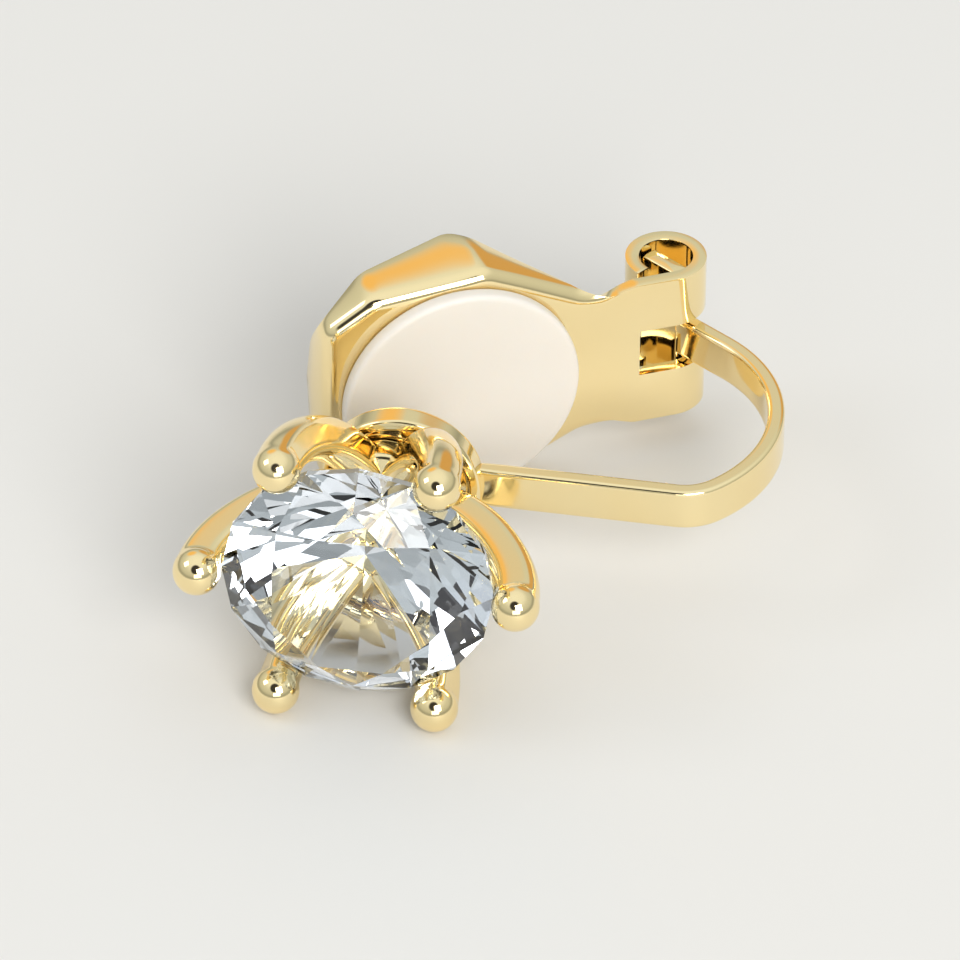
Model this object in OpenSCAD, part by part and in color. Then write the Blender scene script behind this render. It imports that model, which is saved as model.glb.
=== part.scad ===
// Clip-on earring, lying on its side: a round brilliant in a six-claw setting, on a strip that bends round under the
// ear lobe to a hinged paddle with a soft pad. All lengths are in millimetres.
//
// Every piece is drawn in the clip's own frame and laid down at the end. In that frame +X points forward out of the
// stone, Y runs across the clip along the hinge, +Z runs up from the hinge to the paddle's tip, and the origin is the
// centre of the arm's round plate.

/* [Stone] */
// Diameter of the stone
stone_d = 8; // [6:0.5:10]
// Height of the crown above the girdle
crown_h = 1.2; // [0.8:0.1:1.6]
// Depth of the pavilion below the girdle
pavilion_h = 3.4; // [2.4:0.1:3.6]
// Width of the table from corner to corner
table_d = 5; // [3.5:0.1:5.6]
// Thickness of the girdle
girdle_t = 0.2; // [0.1:0.05:0.4]

/* [Setting] */
// Radius of the ball on each claw
ball_r = 0.7; // [0.65:0.05:0.75]
// Height of the ball centres above the underside of the foot
setting_h = 5.25; // [4.9:0.05:6.5]
// Thickness of a claw, across the setting's radius
claw_t = 1.35; // [1.1:0.05:1.4]
// Width of a claw between its flat sides
claw_w = 1.05; // [0.8:0.05:1.1]
// Radius of the foot
foot_r = 1.5; // [1.2:0.05:1.7]
// Height of the foot
foot_h = 0.8; // [0.5:0.05:0.9]
// Height of the setting's axis above the centre of the plate
setting_up = 0.45; // [0:0.05:0.6]

/* [Arm] */
// Width of the strip
arm_w = 1.3; // [1:0.05:1.45]
// Thickness of the strip and the round plate
arm_t = 0.5; // [0.4:0.05:0.7]
// Width of the rim round the plate
rim_w = 0.35; // [0.25:0.05:0.5]
// Height of the rim above the face of the plate
rim_h = 0.3; // [0.1:0.05:0.4]
// Length of the straight run, from the plate's centre to the first bend
arm_drop = 8; // [7:0.1:9.5]
// Centreline radius of the first, tight bend
first_bend_r = 1.5; // [1:0.1:2]
// Turn of the first bend, in degrees
first_bend = 45; // [35:1:55]
// Centreline radius of the wide bend under the lobe
wide_bend_r = 4.4; // [4:0.05:4.6]

/* [Hinge] */
// Distance of the hinge axis behind the plate
hinge_back = 8.57; // [8.4:0.05:9.5]
// Distance of the hinge axis below the plate's centre
hinge_drop = 6.3; // [5.8:0.1:6.8]
// Outer radius of the curled ears
ear_r = 1.2; // [1.1:0.05:1.35]
// Distance between the outer ends of the ears
ear_span = 5; // [4.6:0.1:6]
// Width of the notch between the ears
notch_w = 1.6; // [1.55:0.05:2]
// Length of the notch above the hinge axis
notch_l = 1.15; // [1:0.05:1.5]
// Open seam where each curl comes back to the plate
curl_gap = 0.3; // [0.2:0.05:0.4]

/* [Paddle] */
// Thickness of the pressed sheet
sheet_t = 0.4; // [0.3:0.05:0.45]
// Lean of the paddle from the arm, in degrees
paddle_tilt = 27; // [20:1:32]
// Distance from the hinge axis to the centre of the pad
lever = 6.75; // [6.5:0.05:7.5]
// Half width of the paddle at its widest
paddle_half_w = 4; // [3.85:0.05:4.4]
// Distance from the centre of the pad to the paddle's tip
tip_reach = 4.1; // [3.9:0.05:4.6]
// Half width of the neck
neck_half_w = 2; // [1.8:0.05:2.3]
// Depth of the bent-back edge at its deepest
flange_h = 2.2; // [1.5:0.05:2.6]

/* [Pad] */
// Radius of the pad
pad_r = 3.6; // [3:0.05:3.7]
// Thickness of the pad
pad_t = 0.5; // [0.3:0.05:0.8]
// Rounding of the pad's front edge
pad_round = 0.2; // [0.1:0.05:0.25]

/* [Clearances] */
// Gap between pieces that are stuck or set together
seat_gap = 0.05; // [0.02:0.01:0.1]
// Running clearance of the lugs in the ears, on the radius
lug_gap = 0.06; // [0.03:0.01:0.1]

/* [Hidden] */
$fn = 96;
stone_r = stone_d / 2;
claws = 6;
claw_step = 360 / claws;

// Each ball stands in front of the girdle, seat_gap clear of its front edge.
girdle_drop = ball_r / 2;
ball_ring_r = stone_r + sqrt(pow(ball_r + seat_gap, 2) - pow(girdle_drop, 2));
girdle_foot = setting_h - girdle_drop - girdle_t;

// A claw is a stout arc in a plane through the setting's axis, from its ball down into the foot.
seat_ledge = 0.15;
claw_mid_r = stone_r - seat_ledge + claw_t / 2;
claw_r = setting_h - 0.6 * foot_h;
claw_c = claw_mid_r - claw_r;

// The round plate takes the setting's foot inside its rim.
tray_r = foot_r + setting_up + seat_gap;
plate_r = tray_r + rim_w;
foot_x = arm_t / 2 + seat_gap;
ball_x = foot_x + setting_h;
claw_from = rim_h + seat_gap;

// Centreline of the strip, as [x, z]: down to the first bend, round it, round the wide bend, straight to the hinge.
first_c = [-first_bend_r, -arm_drop];
wide_c = first_c + (wide_bend_r - first_bend_r) * [-cos(first_bend), sin(first_bend)];
hinge = [-hinge_back, -hinge_drop];
to_hinge = hinge - wide_c;
leave_angle = atan2(-to_hinge[1], -to_hinge[0]) + acos(wide_bend_r / norm(to_hinge)) - 180;
leave_point = wide_c + wide_bend_r * [cos(leave_angle), sin(leave_angle)];
end_run = hinge - leave_point;
end_angle = atan2(end_run[1], end_run[0]);

// The ears are curled round the lugs at the end of the strip.
bore_r = ear_r - sheet_t;
lug_r = bore_r - lug_gap;
lug_recess = 0.25;
shoulder_from = 1.1 * ear_r;
neck_from = 1.75 * ear_r;

// Half outline of the pressed plate, from the neck to the tip. along is measured from the centre of the pad, as a
// share of the distance to the tip, or where it is negative to the start of the neck. wide is the share of the way
// from the neck's half width to the widest. deep is the share of the way from the sheet's thickness to flange_h.
//  along  wide  deep
outline = [
    [-1.00, 0.00, 0.00],
    [-0.88, 0.15, 0.22],
    [-0.41, 0.75, 0.36],
    [-0.19, 1.00, 0.61],
    [0.00, 0.94, 1.00],
    [0.64, 0.84, 0.42],
    [1.00, 0.35, 0.40],
];
function up_lever(row) = lever + row[0] * (row[0] < 0 ? lever - neck_from : tip_reach);
function half_width(row) = neck_half_w + row[1] * (paddle_half_w - neck_half_w);
function edge_depth(row) = sheet_t + row[2] * (flange_h - sheet_t);

// Lying on its side it rests on two balls and on the rear corner of the paddle's deepest edge.
rest_row = outline[3];
ball_low = ball_ring_r * cos(claw_step / 2);
edge_low = half_width(rest_row);
edge_x = hinge[0] + (ear_r - edge_depth(rest_row)) * cos(paddle_tilt) + up_lever(rest_row) * sin(paddle_tilt);
low_step = ball_low - edge_low;
low_span = ball_x - edge_x;
rest_lean = atan2(low_step, low_span) + asin(ball_r / norm([low_step, low_span]));
rest_height = ball_low * cos(rest_lean) - ball_x * sin(rest_lean) + ball_r;

// Reach of the laid-down clip along X and Y, for an origin under its middle.
bend_low = wide_c[1] - wide_bend_r - arm_t / 2;
top_reach = setting_up + ball_ring_r + ball_r;
ball_front = ball_x * cos(rest_lean) + ball_low * sin(rest_lean) + ball_r;
table_x = ball_x - girdle_drop + crown_h;
table_front = table_x * cos(rest_lean) + table_d / 2 * cos(22.5) * sin(rest_lean);
front_reach = max(ball_front, table_front);
back_reach = (hinge_back + ear_r) * cos(rest_lean) + ear_span / 2 * sin(rest_lean);
middle = [(-bend_low - top_reach) / 2, (back_reach - front_reach) / 2];

// Lays the clip down: forward becomes -Y, up the clip becomes -X and across the clip becomes +Z.
module laid() {
    translate([-middle[0], -middle[1], rest_height])
        rotate([-rest_lean, 0, 0])
            multmatrix([[0, 0, -1, 0], [-1, 0, 0, 0], [0, 1, 0, 0], [0, 0, 0, 1]])
                children();
}

// Turns a shape drawn in [x, z] into a slab of the given width across the clip.
module across(width) {
    rotate([90, 0, 0])
        translate([0, 0, -width / 2])
            linear_extrude(width)
                children();
}

// Turns a shape drawn in [y, z] into a slab that reaches forward from x.
module forward(x, depth) {
    translate([x, 0, 0])
        rotate([90, 0, 90])
            linear_extrude(depth)
                children();
}

// Puts a shape drawn upright, foot at the origin, on the plate with its axis forward.
module on_plate() {
    translate([foot_x, 0, setting_up])
        rotate([0, 90, 0])
            children();
}

// Puts a shape in the paddle's frame: origin on the hinge axis, X out of the plate's face, Z up the lever.
module on_hinge() {
    translate([hinge[0], 0, hinge[1]])
        rotate([0, paddle_tilt, 0])
            children();
}

// Points of the stone in rings, from the table to the culet.
facets = 8;
half_facet = 180 / facets;
table_r = table_d / 2;
star_r = (table_r * cos(half_facet) + stone_r) / 2;
star_z = girdle_t + crown_h * (stone_r - star_r * cos(half_facet)) / (stone_r - table_r);
lower_r = 0.25 * stone_r;
lower_z = -pavilion_h * (1 - lower_r * cos(half_facet) / stone_r);
function ring(r, z, first, count) = [
    for (k = [0:count - 1]) [r * cos(first + k * 360 / count), r * sin(first + k * 360 / count), z]
];
stone_points = concat(
    ring(table_r, girdle_t + crown_h, half_facet, facets),
    ring(star_r, star_z, 0, facets),
    ring(stone_r, girdle_t, 0, 2 * facets),
    ring(stone_r, 0, 0, 2 * facets),
    ring(lower_r, lower_z, 0, facets),
    [[0, 0, -pavilion_h]]
);

// Numbers of the points going round: table corner, star point, front and back of the girdle, lower point, culet.
function table_at(k) = (k + facets) % facets;
function star_at(k) = facets + (k + facets) % facets;
function front_at(k) = 2 * facets + (k + 2 * facets) % (2 * facets);
function back_at(k) = 4 * facets + (k + 2 * facets) % (2 * facets);
function lower_at(k) = 6 * facets + (k + facets) % facets;
culet = 7 * facets;
stone_faces = concat(
    [[for (k = [facets - 1:-1:0]) table_at(k)]],
    [for (k = [0:facets - 1]) [table_at(k - 1), table_at(k), star_at(k)]],
    [for (k = [0:facets - 1]) [table_at(k), star_at(k + 1), front_at(2 * k + 1)]],
    [for (k = [0:facets - 1]) [table_at(k), front_at(2 * k + 1), star_at(k)]],
    [for (k = [0:facets - 1]) [star_at(k), front_at(2 * k + 1), front_at(2 * k)]],
    [for (k = [0:facets - 1]) [star_at(k), front_at(2 * k), front_at(2 * k - 1)]],
    [for (k = [0:2 * facets - 1]) [front_at(k), front_at(k + 1), back_at(k + 1), back_at(k)]],
    [for (k = [0:facets - 1]) [back_at(2 * k), back_at(2 * k + 1), lower_at(k)]],
    [for (k = [0:facets - 1]) [back_at(2 * k - 1), back_at(2 * k), lower_at(k)]],
    [for (k = [0:facets - 1]) [lower_at(k), back_at(2 * k + 1), culet]],
    [for (k = [0:facets - 1]) [back_at(2 * k + 1), lower_at(k + 1), culet]]
);

module stone() {
    color("aliceblue")
        laid()
            on_plate()
                translate([0, 0, girdle_foot])
                    polyhedron(stone_points, stone_faces);
}

// One claw with its ball, in the plane y = 0.
module claw() {
    translate([claw_c, 0, setting_h])
        rotate([0, 90, 0])
            rotate([90, 0, 0])
                rotate_extrude(angle = 90)
                    translate([claw_r, 0])
                        intersection() {
                            circle(claw_t / 2);
                            square([claw_t, claw_w], center = true);
                        }
    translate([ball_ring_r, 0, setting_h])
        sphere(ball_r);
}

// The room that the stone takes in the setting.
module stone_seat() {
    translate([0, 0, girdle_foot - seat_gap])
        cylinder(h = girdle_t + 2 * seat_gap, r = stone_r + seat_gap);
    translate([0, 0, girdle_foot - seat_gap - pavilion_h])
        cylinder(h = pavilion_h, r1 = 0, r2 = stone_r + seat_gap);
}

module setting() {
    color("goldenrod")
        laid()
            on_plate()
                difference() {
                    union() {
                        cylinder(h = foot_h, r = foot_r);
                        intersection() {
                            for (k = [0:claws - 1])
                                rotate([0, 0, k * claw_step])
                                    claw();
                            translate([0, 0, claw_from])
                                cylinder(h = 2 * setting_h, r = 2 * ball_ring_r);
                        }
                    }
                    stone_seat();
                }
}

// Flat band of the strip round a bend about c, from angle a to angle b.
module bend(c, r, a, b) {
    far = 3 * r;
    intersection() {
        translate(c)
            difference() {
                circle(r + arm_t / 2);
                circle(r - arm_t / 2);
            }
        polygon([c, for (t = [a, (a + b) / 2, b]) c + far * [cos(t), sin(t)]]);
    }
}

// The cross-bar of the T at the strip's end: as thin as the strip, rounded to turn in the bores.
module lugs() {
    translate([hinge[0], 0, hinge[1]])
        rotate([0, -end_angle, 0])
            intersection() {
                rotate([90, 0, 0])
                    cylinder(h = ear_span - 2 * lug_recess, r = lug_r, center = true);
                cube([3 * lug_r, ear_span, arm_t], center = true);
            }
}

// The round plate, a shallow tray open to the front.
module plate() {
    rotate([0, 90, 0])
        difference() {
            translate([0, 0, -arm_t / 2])
                cylinder(h = arm_t + rim_h, r = plate_r);
            translate([0, 0, arm_t / 2])
                cylinder(h = 2 * rim_h, r = tray_r);
        }
}

module arm() {
    color("gold")
        laid()
            union() {
                plate();
                across(arm_w) {
                    difference() {
                        translate([-arm_t / 2, -arm_drop])
                            square([arm_t, arm_drop]);
                        translate([-arm_t, -tray_r])
                            square([2 * arm_t, 2 * tray_r]);
                    }
                    bend(first_c, first_bend_r, -first_bend, 0);
                    bend(wide_c, wide_bend_r, leave_angle, -first_bend);
                    translate(leave_point)
                        rotate(end_angle)
                            translate([0, -arm_t / 2])
                                square([norm(end_run), arm_t]);
                }
                lugs();
            }
}

// The pressed plate seen from the front, drawn in by the given amount. It runs on below the neck's start.
below = [neck_half_w, neck_from - 1];
plan = concat(
    [below],
    [for (row = outline) [half_width(row), up_lever(row)]],
    [for (k = [len(outline) - 1:-1:0]) [-half_width(outline[k]), up_lever(outline[k])]],
    [[-below[0], below[1]]]
);
function outward(p, q) = [q[1] - p[1], p[0] - q[0]] / norm(q - p);
function drawn_in(k, by) = let (
    a = k == 0 ? [1, 0] : outward(plan[k - 1], plan[k]),
    b = k == len(plan) - 1 ? [-1, 0] : outward(plan[k], plan[k + 1])
) plan[k] - by * (a + b) / (1 + a * b);
module face(by) {
    polygon([for (k = [0:len(plan) - 1]) drawn_in(k, by)]);
}

// The pressed plate seen from the side: flat in front, its bent-back edge reaching back as far as the rows say.
module side() {
    polygon([
        for (row = outline) [ear_r - edge_depth(row), up_lever(row)],
        [ear_r, lever + tip_reach],
        [ear_r, neck_from],
    ]);
}

module pressed_plate() {
    difference() {
        intersection() {
            forward(-flange_h, 2 * flange_h)
                face(0);
            across(3 * paddle_half_w)
                side();
        }
        forward(bore_r - 2 * flange_h, 2 * flange_h)
            face(sheet_t);
    }
}

// The neck widens to the ears, which curl back round the hinge axis and stop short of the plate.
module neck_and_ears() {
    forward(bore_r, sheet_t)
        polygon([
            [ear_span / 2, 0],
            [ear_span / 2, shoulder_from],
            [neck_half_w, neck_from],
            [-neck_half_w, neck_from],
            [-ear_span / 2, shoulder_from],
            [-ear_span / 2, 0],
        ]);
    across(ear_span)
        difference() {
            circle(ear_r);
            circle(bore_r);
            translate([bore_r - curl_gap, 0])
                square([curl_gap, 2 * ear_r]);
        }
}

module paddle() {
    color("gold")
        laid()
            on_hinge()
                difference() {
                    union() {
                        pressed_plate();
                        neck_and_ears();
                    }
                    translate([-2 * ear_r, -notch_w / 2, notch_l - 4 * ear_r])
                        cube([4 * ear_r, notch_w, 4 * ear_r]);
                }
}

module pad() {
    color("linen")
        laid()
            on_hinge()
                translate([ear_r + seat_gap, 0, lever])
                    rotate([0, 90, 0])
                        rotate_extrude() {
                            square([pad_r - pad_round, pad_t]);
                            square([pad_r, pad_t - pad_round]);
                            translate([pad_r - pad_round, pad_t - pad_round])
                                circle(pad_round);
                        }
}

stone();
setting();
arm();
paddle();
pad();
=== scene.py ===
"""Clip-on earring with a round faceted stone, lying on its side on a pale table.

Every piece is worked out in the clip's own frame in millimetres, as in the part's source, and laid down at
the end: x forward out of the stone, y across the clip along the hinge, z up from the hinge to the paddle's
tip.
"""
import math

import bmesh
import bpy
import numpy as np
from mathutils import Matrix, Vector


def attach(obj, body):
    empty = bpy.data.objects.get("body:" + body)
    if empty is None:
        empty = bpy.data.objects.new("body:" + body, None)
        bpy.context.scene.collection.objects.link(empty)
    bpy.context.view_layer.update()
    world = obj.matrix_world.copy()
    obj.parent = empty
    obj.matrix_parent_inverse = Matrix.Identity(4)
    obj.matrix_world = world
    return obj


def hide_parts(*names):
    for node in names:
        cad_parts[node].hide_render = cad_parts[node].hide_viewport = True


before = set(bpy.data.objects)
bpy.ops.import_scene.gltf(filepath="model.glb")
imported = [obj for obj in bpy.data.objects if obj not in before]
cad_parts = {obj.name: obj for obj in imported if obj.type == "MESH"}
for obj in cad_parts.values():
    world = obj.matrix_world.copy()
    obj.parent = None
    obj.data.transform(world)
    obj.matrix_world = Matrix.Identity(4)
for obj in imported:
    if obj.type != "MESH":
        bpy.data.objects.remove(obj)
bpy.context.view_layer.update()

# The camera looks from in front and a little to the right, 41 degrees down, from far off.
view_mm, distance_mm, sensor_mm, seen_mm = 28.0, 450.0, 36.0, (-0.33, -0.64, 3.58)
toward = Vector((0.126, -0.7388, 0.6618)).normalized()
cam_data = bpy.data.cameras.new("camera")
cam_data.sensor_width = sensor_mm
cam_data.lens = sensor_mm * distance_mm / view_mm
cam_data.clip_start, cam_data.clip_end = 0.01, 10.0
camera = bpy.data.objects.new("camera", cam_data)
bpy.context.collection.objects.link(camera)
camera.location = Vector(seen_mm) / 1000 + toward * distance_mm / 1000
camera.rotation_euler = (-toward).to_track_quat("-Z", "Y").to_euler()
bpy.context.scene.camera = camera

# Sizes in mm, with the names that the part's source gives them.
stone_r, crown_h, pavilion_h, girdle_t, table_r = 4.0, 1.2, 3.4, 0.2, 2.5
claws, ball_r, setting_h, claw_t, claw_w, seat_ledge = 6, 0.7, 5.25, 1.35, 1.05, 0.15
foot_r, foot_h, setting_up = 1.5, 0.8, 0.45
arm_w, arm_t, rim_w, rim_h, arm_drop = 1.3, 0.5, 0.35, 0.3, 8.0
first_bend_r, first_bend, wide_bend_r = 1.5, math.radians(45), 4.4
hinge_back, hinge_drop, ear_r, ear_span, notch_w, notch_l = 8.57, 6.3, 1.2, 5.0, 1.6, 1.15
sheet_t, paddle_tilt, lever, flange_h = 0.4, math.radians(27), 6.75, 2.2
pad_r, pad_t, pad_round = 3.6, 0.5, 0.2
seat_gap, lug_gap, lug_recess = 0.05, 0.06, 0.25

# Points closer than the first are one point, and an edge shorter than the second is none.
double_mm, no_length_mm = 1e-4, 1e-5

# What the source works out from them.
girdle_drop = ball_r / 2
ball_ring_r = stone_r + math.sqrt((ball_r + seat_gap) ** 2 - girdle_drop**2)
claw_mid_r = stone_r - seat_ledge + claw_t / 2
claw_r = setting_h - 0.6 * foot_h
claw_c = claw_mid_r - claw_r
tray_r = foot_r + setting_up + seat_gap
plate_r = tray_r + rim_w
foot_x = arm_t / 2 + seat_gap
ball_x = foot_x + setting_h
first_c = np.array([-first_bend_r, -arm_drop])
wide_c = first_c + (wide_bend_r - first_bend_r) * np.array([-math.cos(first_bend), math.sin(first_bend)])
hinge = np.array([-hinge_back, -hinge_drop])
bore_r = ear_r - sheet_t
lug_r = bore_r - lug_gap
shoulder_from, neck_from = 1.1 * ear_r, 1.75 * ear_r
tilt_sin, tilt_cos = math.sin(paddle_tilt), math.cos(paddle_tilt)

# How it lies, also as in the source: on two balls and on one corner of the solid paddle's bent edge.
corner_half_w, corner_up, corner_deep = 4.0, 5.8665, 1.498
ball_low = ball_ring_r * math.cos(math.pi / claws)
corner_x = hinge[0] + (ear_r - corner_deep) * tilt_cos + corner_up * tilt_sin
low_step, low_span = ball_low - corner_half_w, ball_x - corner_x
rest_lean = math.atan2(low_step, low_span) + math.asin(ball_r / math.hypot(low_step, low_span))
lean_sin, lean_cos = math.sin(rest_lean), math.cos(rest_lean)
rest_height = ball_low * lean_cos - ball_x * lean_sin + ball_r
table_x, table_corner = ball_x - girdle_drop + crown_h, table_r * math.cos(math.radians(22.5))
top_reach = setting_up + ball_ring_r + ball_r
bend_reach = wide_bend_r + arm_t / 2 - wide_c[1]
front_reach = table_x * lean_cos + table_corner * lean_sin
back_reach = (hinge_back + ear_r) * lean_cos + ear_span / 2 * lean_sin
middle = (bend_reach - top_reach) / 2, (back_reach - front_reach) / 2


def laid(p):
    """Clip frame in mm to the row frame in m: forward becomes -Y, up -X and across +Z, then the lean."""
    p = np.asarray(p, float)
    side, back, high = -p[..., 2], -p[..., 0], p[..., 1]
    y = back * lean_cos + high * lean_sin - middle[1]
    z = high * lean_cos - back * lean_sin + rest_height
    return np.stack([side - middle[0], y, z], -1) / 1000


def on_hinge(p):
    """The paddle's frame to the clip's: x out of the plate's face, z up the lever from the hinge axis."""
    p = np.asarray(p, float)
    x = hinge[0] + p[..., 0] * tilt_cos + p[..., 2] * tilt_sin
    z = hinge[1] - p[..., 0] * tilt_sin + p[..., 2] * tilt_cos
    return np.stack([x, p[..., 1], z], -1)


def grid_faces(rows, cols, first=0, closed=True):
    """Quads of a grid of points, counted row by row from first. closed joins its last and first columns."""
    i, j = np.meshgrid(np.arange(rows - 1), np.arange(cols if closed else cols - 1), indexing="ij")
    next_j = (j + 1) % cols
    corners = [i * cols + j, i * cols + next_j, (i + 1) * cols + next_j, (i + 1) * cols + j]
    return first + np.stack(corners, -1).reshape(-1, 4)


def joined(skins):
    """Several skins, each a grid of points closed round its columns, as one array of points and one of
    quads."""
    starts = np.cumsum([0] + [skin.shape[0] * skin.shape[1] for skin in skins])
    faces = [grid_faces(*skin.shape[:2], first=start) for skin, start in zip(skins, starts)]
    return np.concatenate([skin.reshape(-1, 3) for skin in skins]), np.concatenate(faces)


def piece(name, points, faces, body, slot, material, replaces, modifiers=()):
    """A piece from points in the clip's frame. Doubles are merged and faces turned outwards before
    modifiers run."""
    mesh = bpy.data.meshes.new(name)
    mesh.from_pydata(np.asarray(points, float).reshape(-1, 3).tolist(), [], faces.tolist())
    skin = bmesh.new()
    skin.from_mesh(mesh)
    bmesh.ops.remove_doubles(skin, verts=skin.verts, dist=double_mm)
    bmesh.ops.dissolve_degenerate(skin, edges=skin.edges, dist=no_length_mm)
    bmesh.ops.recalc_face_normals(skin, faces=skin.faces)
    skin.to_mesh(mesh)
    skin.free()
    obj = bpy.data.objects.new(name, mesh)
    bpy.context.collection.objects.link(obj)
    for kind, settings in modifiers:
        modifier = obj.modifiers.new(kind.title(), kind)
        for key, value in settings.items():
            setattr(modifier, key, value)
    if modifiers:
        mesh = bpy.data.meshes.new_from_object(obj.evaluated_get(bpy.context.evaluated_depsgraph_get()))
        obj.modifiers.clear()
        obj.data = mesh
    co = np.empty(len(mesh.vertices) * 3)
    mesh.vertices.foreach_get("co", co)
    mesh.vertices.foreach_set("co", laid(co.reshape(-1, 3)).ravel())
    mesh.polygons.foreach_set("use_smooth", np.ones(len(mesh.polygons), bool))
    mesh.update()
    mesh.materials.clear()
    mesh.materials.append(material)
    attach(obj, body)
    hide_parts(replaces)


# Materials

def linear(hexcode):
    """sRGB hex to the linear values that the shader takes."""
    srgb = np.array([int(hexcode[i:i + 2], 16) for i in (1, 3, 5)]) / 255
    return (*np.where(srgb <= 0.04045, srgb / 12.92, ((srgb + 0.055) / 1.055) ** 2.4), 1.0)


def node(tree, kind, links=None, stops=(), **settings):
    """Adds a node, sets its own attributes or its inputs by name, gives a ramp its (place, colour or
    grey) stops, and links its inputs from other nodes' outputs."""
    added = tree.nodes.new(kind)
    for key, value in settings.items():
        name = key.replace("_", " ")
        if name in added.inputs:
            added.inputs[name].default_value = value
        else:
            setattr(added, key, value)
    for k, (place, colour) in enumerate(stops):
        elements = added.color_ramp.elements
        stop = elements[k] if k < len(elements) else elements.new(place)
        stop.position = place
        stop.color = (colour, colour, colour, 1) if np.isscalar(colour) else colour
    for key, output in (links or {}).items():
        tree.links.new(output, added.inputs[key])
    return added


def shader(name, **settings):
    """A material whose Principled shader has the given inputs, and the object's own coordinates for its
    patterns."""
    material = bpy.data.materials.new(name)
    material.use_nodes = True
    tree = material.node_tree
    inputs = tree.nodes["Principled BSDF"].inputs
    for key, value in settings.items():
        inputs[key.replace("_", " ")].default_value = value
    return material, tree, inputs, node(tree, "ShaderNodeTexCoord").outputs["Object"]


def per_m(width_mm):
    """The Scale of a noise whose patches are width_mm wide: how many of them go into a metre."""
    return 1000 / width_mm


def two_tone(tree, share, first, second):
    """From one sRGB hex colour to another by share."""
    colours = {"A": linear(first), "B": linear(second)}
    return node(tree, "ShaderNodeMix", {"Factor": share}, data_type="RGBA", **colours).outputs["Result"]


def gold_plate():
    """Pale gold plating on polished brass: a mirror, with the slight waviness, 2.4 mm from swell to
    swell, of tumbled castings and pressed sheet, and a thin haze of handling in patches of 0.65 mm that
    dulls the mirror here and there. The swells also carry a slight change in the plating's tint."""
    material, tree, inputs, at = shader("pale gold plating on polished brass", Metallic=1.0)
    wave = node(tree, "ShaderNodeTexNoise", {"Vector": at}, Scale=per_m(2.4), Detail=1.0, Roughness=0.4)
    haze = node(tree, "ShaderNodeTexNoise", {"Vector": at}, Scale=per_m(0.65), Detail=4.0, Roughness=0.6)
    bump = node(tree, "ShaderNodeBump", {"Height": wave.outputs["Fac"]}, Strength=0.12, Distance=0.00012)
    dull = node(tree, "ShaderNodeValToRGB", {"Fac": haze.outputs["Fac"]}, [(0.35, 0.05), (0.7, 0.13)])
    tint = two_tone(tree, wave.outputs["Fac"], "#FFECBA", "#FFE7AD")
    tree.links.new(tint, inputs["Base Color"])
    tree.links.new(dull.outputs["Color"], inputs["Roughness"])
    tree.links.new(bump.outputs["Normal"], inputs["Normal"])
    return material


def cut_glass():
    """Crystal glass, cut and polished in flat facets: clear, a breath of blue, and as sharp as a mirror.
    The lap leaves faint swells 1.4 mm apart, which make the reflections in a wide facet swim a little."""
    material, tree, inputs, at = shader(
        "polished crystal glass",
        Base_Color=linear("#E8EEF6"), Roughness=0.0, IOR=1.62, Transmission_Weight=1.0,
    )
    wave = node(tree, "ShaderNodeTexNoise", {"Vector": at}, Scale=per_m(1.4), Detail=1.0, Roughness=0.4)
    bump = node(tree, "ShaderNodeBump", {"Height": wave.outputs["Fac"]}, Strength=0.1, Distance=0.00003)
    tree.links.new(bump.outputs["Normal"], inputs["Normal"])
    return material


def silicone():
    """Moulded silicone: soft satin, slightly see-through at its edge, with faint clouds 4 mm wide and the
    dull grain of a blasted mould. That grain is about 0.05 mm and is drawn 0.2 mm wide, so that it
    shows."""
    material, tree, inputs, at = shader(
        "moulded cream silicone",
        Roughness=0.42,
        Subsurface_Weight=0.25, Subsurface_Scale=1.0, Subsurface_Radius=(0.0012, 0.0009, 0.0007),
    )
    grain = node(tree, "ShaderNodeTexNoise", {"Vector": at}, Scale=per_m(0.2), Detail=4.0, Roughness=0.6)
    cloud = node(tree, "ShaderNodeTexNoise", {"Vector": at}, Scale=per_m(4), Detail=2.0)
    bump = node(tree, "ShaderNodeBump", {"Height": grain.outputs["Fac"]}, Strength=0.25, Distance=0.00002)
    tint = two_tone(tree, cloud.outputs["Fac"], "#E6DFD7", "#E1D9D0")
    tree.links.new(tint, inputs["Base Color"])
    tree.links.new(bump.outputs["Normal"], inputs["Normal"])
    return material


def table_top():
    """The pale matt table: evenly coloured, with faint clouds 80 mm wide."""
    material, tree, inputs, at = shader("pale matt table", Roughness=0.6, Specular_IOR_Level=0.2)
    cloud = node(tree, "ShaderNodeTexNoise", {"Vector": at}, Scale=per_m(80), Detail=2.0)
    tint = two_tone(tree, cloud.outputs["Fac"], "#E0DEDB", "#DDDBD8")
    tree.links.new(tint, inputs["Base Color"])
    return material


gold = gold_plate()


# Curves and profiles

def smooth_step(x):
    """0 below 0, 1 above 1, and a soft rise between."""
    x = np.clip(x, 0, 1)
    return x * x * (3 - 2 * x)


def softly(a, b, power):
    """The larger of a and b, or the smaller where the power is negative, rounded where they meet: the
    power p of each, summed, to the power 1 / p."""
    return (a**power + b**power) ** (1 / power)


def quarter(count):
    """Angles from 0 to a right angle."""
    return np.linspace(0, math.pi / 2, count)


def arc(centre, r, start, end, count):
    """Points on a circle about centre from angle start to angle end."""
    angle = np.linspace(start, end, count)
    return centre + r * np.stack([np.cos(angle), np.sin(angle)], -1)


def run_along(path):
    """The distance along a path up to each of its points, by its first two columns."""
    return np.concatenate([[0], np.cumsum(np.linalg.norm(np.diff(path[:, :2], axis=0), axis=1))])


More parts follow.
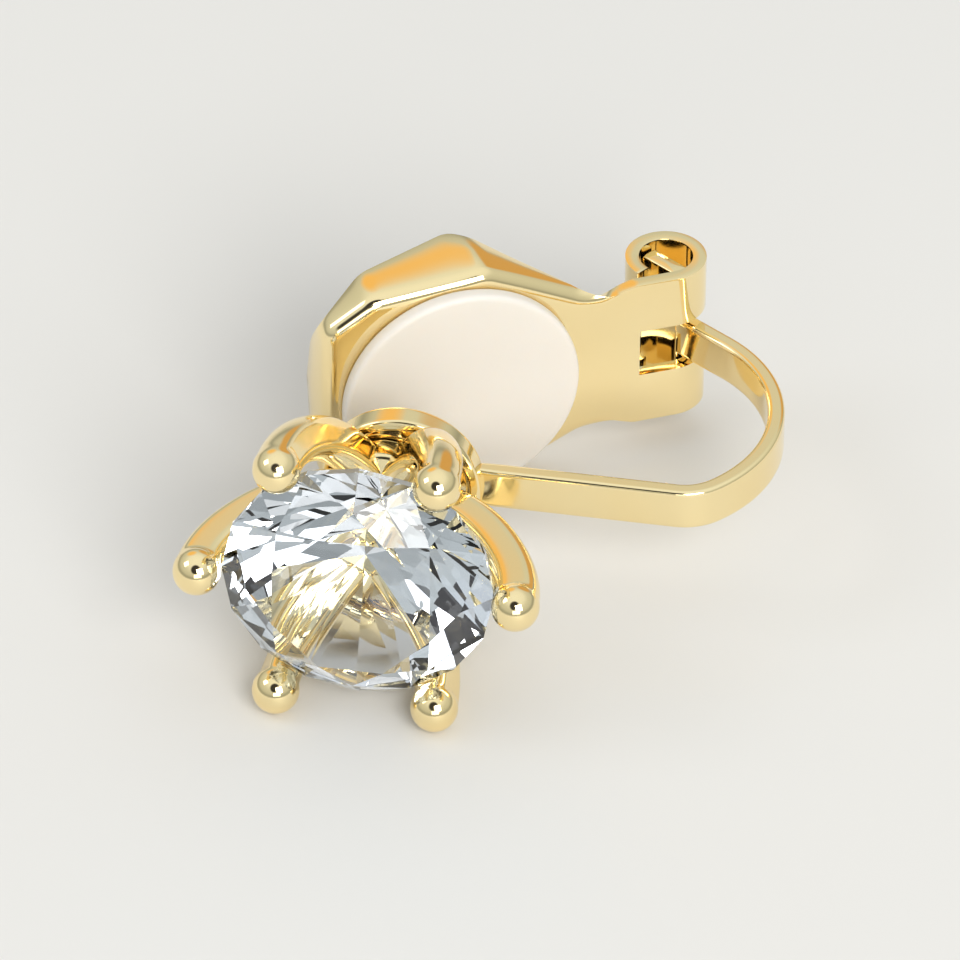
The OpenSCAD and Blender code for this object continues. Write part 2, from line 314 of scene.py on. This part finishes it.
def rounded(corners, radius, steps=5):
    """A path of straight runs through the corners. Each inner corner is rounded by the parabola between
    the points at the distance radius before and after it, radius being one value or one each. A third
    column rides along."""
    corners = np.asarray(corners, float)
    radius = np.broadcast_to(radius, len(corners))
    out = [corners[:1]]
    for k in range(1, len(corners) - 1):
        before, corner, after = corners[k - 1:k + 2]
        back_l, on_l = np.linalg.norm((before - corner)[:2]), np.linalg.norm((after - corner)[:2])
        cut = min(radius[k], 0.49 * back_l, 0.49 * on_l)
        start, end = corner + cut * (before - corner) / back_l, corner + cut * (after - corner) / on_l
        w = np.linspace(0, 1, steps + 1)[:, None]
        out.append((1 - w) ** 2 * start + 2 * w * (1 - w) * corner + w**2 * end)
    out.append(corners[-1:])
    return np.concatenate(out)


def supported(path, near=0.03):
    """The path with a point close to each end of its long runs, so that flat faces are shaded flat."""
    out = [path[0]]
    for start, end in zip(path[:-1], path[1:]):
        length = np.linalg.norm(end - start)
        if length > 6 * near:
            step = (end - start) * near / length
            out += [start + step, end - step]
        out.append(end)
    return np.array(out)


def turned(profile, cols=96):
    """A profile of (radius, height) points turned about the upright axis."""
    angle = np.linspace(0, 2 * math.pi, cols, endpoint=False)
    r, h = np.asarray(profile, float).T[:, :, None]
    return np.stack([r * np.cos(angle), r * np.sin(angle), np.broadcast_to(h, (len(r), cols))], -1)


# Setting

# The turn of a claw's arc, the length over which it moves out to its ball, the length over which the rows
# of its skin draw closer before the ball, and the length over which the bar fades out inside the ball.
claw_turn, splay_l, close_l, fade_l = math.radians(82), 3.0, 0.9, 0.45
# How far the notches of the claws stay clear of the girdle and of the table's edge.
girdle_clear, table_clear = 0.03, 0.1
# The low cone on the foot, between the claws, and the dish in its top.
foot_round, cone_r, cone_h, cone_dish = 0.12, 0.9, 0.35, 0.05


def upright(p):
    """From the setting's frame, foot down and axis up, to the clip's: on the plate, its axis forward."""
    return np.stack([foot_x + p[..., 2], p[..., 1], setting_up - p[..., 0]], -1)


def claw_line():
    """The middle line of a claw and its ball, as radius, height and the distance still to go to the
    ball's middle. It is an arc about (claw_c, setting_h), which moves out to the ring of the balls over
    its last splay_l, and then a straight rise through the ball."""
    far = np.linspace(claw_turn * claw_r, close_l, 34)
    to_go = np.concatenate([far, close_l * (1 - np.sin(quarter(22)[1:]))])
    past = ball_r * np.sin(quarter(15)[1:])
    splay = (ball_ring_r - claw_mid_r) * (1 - smooth_step(to_go / splay_l))
    r = claw_c + claw_r * np.cos(to_go / claw_r) + splay
    h = setting_h - claw_r * np.sin(to_go / claw_r)
    r = np.concatenate([r, 0 * past + ball_ring_r])
    return r, np.concatenate([h, setting_h + past]), np.concatenate([to_go, -past])


def stone_reach(z):
    """The stone's radius at the height z in the setting: cone, girdle, and a cone cut off at the table."""
    levels = setting_h - girdle_drop - girdle_t + np.array([-pavilion_h, 0, girdle_t, girdle_t + crown_h])
    girdle_r = stone_r + girdle_clear
    return np.interp(z, levels, [0, girdle_r, girdle_r, table_r + table_clear], left=0, right=0)


def claw(turn, cols=56):
    """A claw and its ball as one skin round their middle line, turned about the setting's axis. In the
    direction a round that line, the claw is a round bar with two flat sides: it reaches out by the
    smaller of claw_t / 2 and claw_w / 2 / |sin a|. At the distance s from its middle, the ball reaches
    out by sqrt(ball_r^2 - s^2). The larger of the two holds. Where the skin would enter the stone, it is
    pushed out to the stone's edge, which leaves the notch that holds the stone."""
    r, h, to_go = claw_line()
    along = np.stack([np.gradient(r), np.gradient(h)], -1)
    along /= np.linalg.norm(along, axis=1, keepdims=True)
    a = np.linspace(0, 2 * math.pi, cols, endpoint=False)
    # Where |sin a| is under 0.2 the round side holds anyway.
    flat_side = claw_w / 2 / np.clip(abs(np.sin(a)), 0.2, None)
    bar = softly(claw_t / 2, flat_side, -20.0)
    bar = bar * smooth_step((to_go + fade_l) / fade_l)[:, None]
    ball = np.sqrt(np.clip(ball_r**2 - to_go**2, 0, None))[:, None]
    reach = softly(bar, ball, 30)
    reach[-1] = 0
    out, y = reach * np.cos(a), reach * np.sin(a)
    z = np.maximum(h[:, None] - out * along[:, :1], foot_h / 2)
    x = np.maximum(r[:, None] + out * along[:, 1:], np.sqrt(np.clip(stone_reach(z) ** 2 - y**2, 0, None)))
    p = np.stack([x * math.cos(turn) - y * math.sin(turn), x * math.sin(turn) + y * math.cos(turn), z], -1)
    p[0] = p[0].mean(0)
    return p


def foot():
    """The foot: a round block with a low dished cone on it."""
    top = [(foot_r, foot_h), (cone_r, foot_h + cone_h), (0, foot_h + cone_h - cone_dish)]
    return turned(supported(rounded([(0, 0), (foot_r, 0), *top], foot_round)))


skins = [upright(claw(k * 2 * math.pi / claws)) for k in range(claws)]
piece("setting_claws", *joined([*skins, upright(foot())]), "front", "metal", gold, "setting")


# Arm

# Where the strip starts, inside the rim, and the rounding of its long edges.
strip_from, strip_round = tray_r + 0.08, 0.13
# The strip's thickness at its ends, as a share, and the lengths over which it grows to the full one from
# the plate and from the hinge.
end_share, from_plate, from_hinge = 0.86, 0.7, 0.9
# The rounding of the cross-bar's section, the length of its rounded ends and the share that it loses there.
bar_round, bar_end_l, bar_end_loss = 0.06, 0.09, 0.12
# The roundings of the round plate, from its back to the foot of its rim, and the slope inside the rim.
tray_rounds, rim_slope = [0, 0.16, 0.13, 0.1, 0.12, 0], 0.04


def strip_path():
    """The strip's middle line in (x, z): down, the tight bend, the wide bend, straight to the hinge."""
    to_hinge = hinge - wide_c
    leave = math.atan2(to_hinge[1], to_hinge[0]) + math.acos(wide_bend_r / np.linalg.norm(to_hinge))
    down = np.linspace((0, -strip_from), (0, -arm_drop), 30)
    tight = arc(first_c, first_bend_r, 0, -first_bend, 14)
    wide = arc(wide_c, wide_bend_r, -first_bend, leave, 60)
    return np.concatenate([down[:-1], tight[:-1], wide[:-1], np.linspace(wide[-1], hinge, 12)])


def strip(path):
    """The strip: a rounded rectangle, arm_w across and arm_t through, carried along the path square to
    it, with both ends closed."""
    w, t = arm_w / 2, arm_t / 2
    corners = [(0, -t), (w, -t), (w, t), (-w, t), (-w, -t), (0, -t)]
    across, through = supported(rounded(corners, strip_round, 4), 0.02)[:-1].T
    run = run_along(path)
    grown = smooth_step(run / from_plate) * smooth_step((run[-1] - run) / from_hinge)
    share = end_share + (1 - end_share) * grown
    along = np.gradient(path, axis=0)
    along /= np.linalg.norm(along, axis=1, keepdims=True)
    through = through * share[:, None]
    x, z = path[:, :1] - along[:, 1:] * through, path[:, 1:] + along[:, :1] * through
    p = np.stack([x, np.broadcast_to(across, x.shape), z], -1)
    first, last = (np.broadcast_to(p[k].mean(0), p[:1].shape) for k in (0, -1))
    return np.concatenate([first, p, last])


def cross_bar(end):
    """The flat cross-bar inside the ears: the round of the bore cut to the strip's thickness, in line
    with the strip's end, with rounded ends."""
    half = math.asin(arm_t / 2 / lug_r)
    side = arc(0, lug_r, -half, half, 9)
    section = supported(rounded(np.concatenate([side, -side, side[:1]]), bar_round), 0.02)[:-1]
    reach = ear_span / 2 - lug_recess
    inset, share = bar_end_l * (1 - np.cos(quarter(5))), 1 - bar_end_loss * (1 - np.sin(quarter(5)))
    across = np.concatenate([[-reach], inset - reach, [0], (reach - inset)[::-1], [reach]])
    share = np.concatenate([[0], share, [1], share[::-1], [0]])
    on, through = section.T[:, None] * share[:, None]
    x, z = hinge[0] + on * end[0] - through * end[1], hinge[1] + on * end[1] + through * end[0]
    return np.stack([x, np.broadcast_to(across[:, None], x.shape), z], -1)


def round_plate():
    """The round plate, a shallow tray with a rim, open to the front."""
    top = arm_t + rim_h
    profile = [(0, 0), (plate_r, 0), (plate_r, top), (tray_r, top), (tray_r - rim_slope, arm_t), (0, arm_t)]
    p = turned(supported(rounded(profile, tray_rounds)))
    return np.stack([p[..., 2] - arm_t / 2, p[..., 1], -p[..., 0]], -1)


path = strip_path()
end = (path[-1] - path[-2]) / np.linalg.norm(path[-1] - path[-2])
piece("bent_arm", *joined([strip(path), cross_bar(end), round_plate()]), "front", "metal", gold, "arm")


# Paddle

# The turn of the ears' curls, the radius of the fold in the middle of the sheet, and how far the
# bent-back wall bows out.
curl, fold_r, wall_bow = math.radians(300), 0.22, 0.16
# Where the sheet's rows gather on the middle line, and where its columns stand on the notch's edge.
gather_up, notch_top = 7.4, notch_l + 0.1
# The outline, from the end of the ear up to the tip.
edge = [
    # half width, place up the lever, depth of the edge, rounding of the corner
    (ear_span / 2, notch_l, sheet_t, 0),
    (ear_span / 2, shoulder_from, sheet_t, 0.3),
    (2.25, neck_from, sheet_t, 0.35),
    (2.52, 2.90, 0.52, 0.4),
    (3.50, 4.84, 1.30, 0.3),
    (3.99, 5.87, 1.84, 0.25),
    (3.92, 6.44, 2.30, 0.25),
    (3.68, 9.374, 1.50, 0.3),
    (2.72, 10.85, 0.75, 0.42),
    (1.60, 10.85, 1.50, 0.4),
    (0.00, 10.85, 1.80, 0),
]


def edge_line(step=0.11):
    """The right half of the outline at even steps, as half width, place up the lever and depth, with the
    ear that is still to be curled laid out flat below the hinge's level."""
    table = np.array(edge)
    line = rounded(table[:, :3], table[:, 3], 8)
    run = run_along(line)
    even = np.linspace(0, run[-1], int(run[-1] / step))
    line = np.stack([np.interp(even, run, column) for column in line.T], -1)
    up_ear = np.linspace(-curl, notch_l, 56)[:-1]
    return np.concatenate([np.stack([0 * up_ear + ear_span / 2, up_ear, 0 * up_ear + sheet_t], -1), line])


def paddle_sheet(line):
    """The middle of the pressed sheet, right half. Each row runs from the middle line out to the outline,
    then over the fold, an arc of fold_r, and down the bent-back wall. At the depth d the wall bows out by
    wall_bow d (1 - d / its depth). Where it is shallower than the fold, the arc stops at the angle
    acos(1 - depth / fold_r). Below the hinge's level the sheet is wrapped round the hinge axis at the
    radius R = ear_r - sheet_t / 2: a point at height z and depth d goes to R - d at the angle -z / R."""
    along = np.gradient(line[:, :2], axis=0)
    along[-1] = (-1, 0)
    deep = np.clip(line[:, 2] - sheet_t, 0, None) * (flange_h - sheet_t / 2) / (flange_h - sheet_t)
    turn = np.arccos(np.clip(1 - deep / fold_r, 0, 1))
    folded = smooth_step(turn / (math.pi / 2))[:, None]
    out = np.stack([along[:, 1], -along[:, 0]], -1) / np.linalg.norm(along, axis=1, keepdims=True)
    out = folded * out + (1 - folded) * (1, 0)
    out /= np.linalg.norm(out, axis=1, keepdims=True)
    inset = fold_r + sheet_t / 2
    start = line[:, :2] - inset * out

    # Along a row, past its start, come a level stretch, the arc and the wall. Place 1.5 is half way round
    # the arc, and 2.5 half way down the wall. gone is the distance from the start.
    level, bend, wall = inset * (1 - np.sin(turn)), fold_r * turn, np.clip(deep - fold_r, 0, None)
    marks = np.stack([0 * level, level, level + bend, level + bend + wall], -1)
    place = np.array([1, 1.17, 1.33, 1.5, 1.67, 1.83, 2, 2.1, 2.5, 3])
    low = np.clip(np.floor(place).astype(int), 0, 2)
    gone = marks[:, low] + (place - low) * (marks[:, low + 1] - marks[:, low])
    gone = gone * folded + np.linspace(0, 1, len(place)) * marks[:, -1:] * (1 - folded)
    level, bend, turn, wall = level[:, None], bend[:, None], turn[:, None], wall[:, None]
    bent = np.clip((gone - level) / fold_r, 0, turn)
    beyond = np.clip(gone - (level + bend), 0, None)
    outwards = np.minimum(gone, level) + fold_r * np.sin(bent) + beyond * np.cos(turn)
    outwards += wall_bow * beyond * (1 - beyond / np.maximum(wall, 1e-6))
    back = fold_r * (1 - np.cos(bent)) + beyond * np.sin(turn)

    # The flat part's columns share out each row. Round the notch the third one stands on its edge.
    up = line[:, 1]
    spine = np.stack([0 * up, np.minimum(up, gather_up)], -1)
    inner = spine[:, None] + np.array([0, 0.25, 0.5, 0.75, 0.93])[None, :, None] * (start - spine)[:, None]
    near = smooth_step((neck_from - up) / (neck_from - notch_top))[:, None]
    to_notch, to_edge = np.array([0, 0.5, 1, 1, 1]), np.array([0, 0, 0, 0.33, 0.67])
    notched = to_notch * notch_w / 2 + to_edge * (start[:, :1] - notch_w / 2)
    inner[..., 0] = inner[..., 0] * (1 - near) + notched * near
    flat = np.concatenate([inner, start[:, None] + outwards[..., None] * out[:, None]], 1)
    sheet_r = ear_r - sheet_t / 2
    r = sheet_r - np.concatenate([np.zeros(inner.shape[:2]), back], 1)
    below = flat[..., 1] < 0
    angle = np.where(below, -flat[..., 1] / sheet_r, 0)
    z = np.where(below, -r * np.sin(angle), flat[..., 1])
    return np.stack([r * np.cos(angle), flat[..., 0], z], -1)


line = edge_line()
half_sheet = paddle_sheet(line)
rows, cols = half_sheet.shape[:2]
cells = grid_faces(rows, cols, closed=False)
row, col = np.divmod(cells[:, 0], cols)
# The notch is left open: no cells there in the first two columns, from the ear's end up to notch_l.
cells = cells[(col > 1) | (line[row, 1] > notch_l - 0.01)]
both = on_hinge(np.concatenate([half_sheet.reshape(-1, 3), half_sheet.reshape(-1, 3) * (1, -1, 1)]))
faces = np.concatenate([cells, cells[:, ::-1] + rows * cols])
piece("pressed_paddle", both, faces, "back", "metal", gold, "paddle", [
    ("SOLIDIFY", {"thickness": sheet_t, "offset": 0.0, "use_even_offset": True}),
    ("BEVEL", {"width": 0.08, "segments": 3, "limit_method": "ANGLE", "angle_limit": math.radians(50)}),
])


# Pad

# The disc is narrower by foot_in at the paddle, up to the height foot_up. Its face has dropped by face_drop
# at the share face_share of its radius, and by edge_drop at the rounded edge.
foot_in, foot_up, face_share, face_drop, edge_drop = 0.03, 0.1, 0.72, 0.004, 0.03


def cushion():
    """The pad: a disc with a barely domed face and a soft edge."""
    side = [(pad_r - foot_in, 0), (pad_r, foot_up), (pad_r, pad_t - edge_drop)]
    face = [(pad_r * face_share, pad_t - face_drop), (0, pad_t)]
    p = turned(supported(rounded([(0, 0), *side, *face], [0, 0.05, 0.05, pad_round, 0.6, 0])))
    return np.stack([p[..., 2] + ear_r + seat_gap, p[..., 1], lever - p[..., 0]], -1)


piece("round_pad", *joined([on_hinge(cushion())]), "back", "pad", silicone(), "pad")

# Stone: the solid already has its facets, so it keeps its mesh.
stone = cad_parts["stone"]
stone.data.materials.clear()
stone.data.materials.append(cut_glass())


# Table and light

def area_light(name, place, aim, size, power, colour):
    """A soft rectangular light at place, facing aim. Places and sizes are in mm."""
    data = bpy.data.lights.new(name, "AREA")
    data.shape, data.size, data.size_y = "RECTANGLE", size[0] / 1000, size[1] / 1000
    data.energy, data.color = power, linear(colour)[:3]
    obj = bpy.data.objects.new(name, data)
    bpy.context.collection.objects.link(obj)
    obj.location = Vector(place) / 1000
    obj.rotation_euler = (Vector(aim) - Vector(place)).to_track_quat("-Z", "Y").to_euler()


def patch(tree, direction, base, place, stops, colour):
    """base with colour over it where direction points near place. The stops are cosines of the angle."""
    near = node(tree, "ShaderNodeVectorMath", {0: direction}, operation="DOT_PRODUCT")
    near.inputs[1].default_value = Vector(place).normalized()
    share = node(tree, "ShaderNodeValToRGB", {"Fac": near.outputs["Value"]}, stops).outputs["Color"]
    mix = node(tree, "ShaderNodeMix", {"Factor": share, "A": base}, data_type="RGBA", B=linear(colour))
    return mix.outputs["Result"]


bpy.ops.mesh.primitive_plane_add(size=2.4, location=(0, 0, 0))
table = bpy.context.object
table.name = "table"
table.data.materials.append(table_top())

# A plain studio, by the height of the direction: a grey band just over the horizon and a pale ceiling.
world = bpy.context.scene.world or bpy.data.worlds.new("studio")
bpy.context.scene.world = world
world.use_nodes = True
sky = world.node_tree
direction = node(sky, "ShaderNodeTexCoord").outputs["Generated"]
height = node(sky, "ShaderNodeSeparateXYZ", {"Vector": direction}).outputs["Z"]
room = node(sky, "ShaderNodeValToRGB", {"Fac": height}, [
    (0.0, linear("#BBBFBD")),
    (0.12, linear("#939796")),
    (0.3, linear("#BABEBC")),
    (0.58, linear("#C8CDCC")),
    (0.8, linear("#DFE4E7")),
    (1.0, linear("#E6EBEF")),
]).outputs["Color"]
# Two warm cards behind the table, over the horizon, which turn the edges that face them to amber.
room = patch(sky, direction, room, (-0.38, 0.72, 0.58), [(0.955, 0.0), (0.99, 1.0)], "#E8BF7C")
room = patch(sky, direction, room, (0.20, 0.93, 0.30), [(0.95, 0.0), (0.98, 1.0)], "#C6A068")
# The dark corner that the picture is taken from, which gives metal and facets their dark accents.
room = patch(sky, direction, room, (0.05, -0.64, 0.76), [(0.91, 0.0), (0.945, 1.0)], "#343438")
sky.links.new(room, sky.nodes["Background"].inputs["Color"])
sky.nodes["Background"].inputs["Strength"].default_value = 1.15

area_light("key_softbox", (290, -480, 430), (0, 0, 3), (360, 360), 3.4, "#FFFEFB")
area_light("softbox_left", (-240, -40, 240), (0, 0, 3), (120, 120), 0.10, "#F4F8FF")
area_light("front_fill", (90, -330, 110), (0, 0, 4), (220, 110), 0.15, "#FFFFFF")

# Plain colours, as a camera's own picture has them.
bpy.context.scene.view_settings.view_transform = "Standard"
